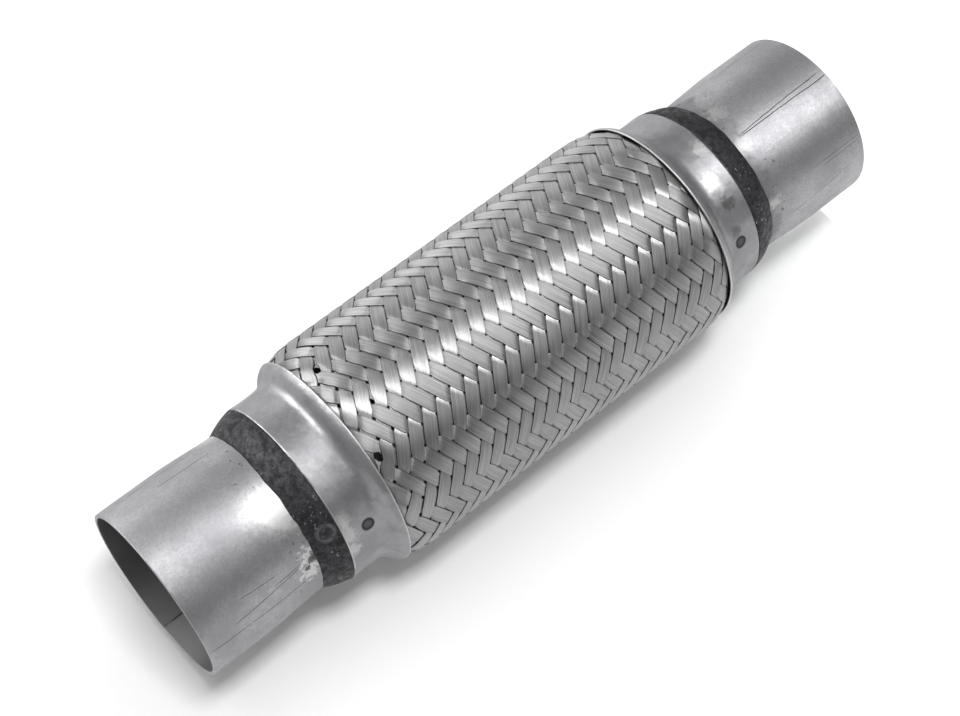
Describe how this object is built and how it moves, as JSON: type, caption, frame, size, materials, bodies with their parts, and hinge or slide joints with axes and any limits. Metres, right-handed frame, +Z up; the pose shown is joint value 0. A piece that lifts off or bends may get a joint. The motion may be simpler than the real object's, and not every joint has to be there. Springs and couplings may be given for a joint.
{
  "type": "exhaust flex pipe",
  "caption": "Flexible exhaust connector: round tube stubs welded into flared caps at both ends of a woven wire sleeve, with a pleated bellows and liner inside.",
  "frame": {"origin": "centre of the lower stub's open end face, which the pipe stands on", "axes": "+Z up the pipe's axis; the pictured side faces -Y, and the picture's near lower left end is the top"},
  "size_m": [0.0856, 0.0856, 0.3048],
  "materials": {
    "stub_steel": "satin, mottled, fine scratches",
    "weld_metal": "dark, grainy",
    "cap_steel": "satin",
    "liner_steel": "satin",
    "bellows_steel": "satin",
    "braid_wire": "bright drawn wire"
  },
  "bodies": {
    "root": {"lower_stub": "stub_steel", "upper_stub": "stub_steel", "lower_neck_weld": "weld_metal", "upper_neck_weld": "weld_metal", "lower_cap": "cap_steel", "upper_cap": "cap_steel", "inner_liner": "liner_steel", "bellows": "bellows_steel", "braid": "braid_wire"}
  },
  "joints": []
}
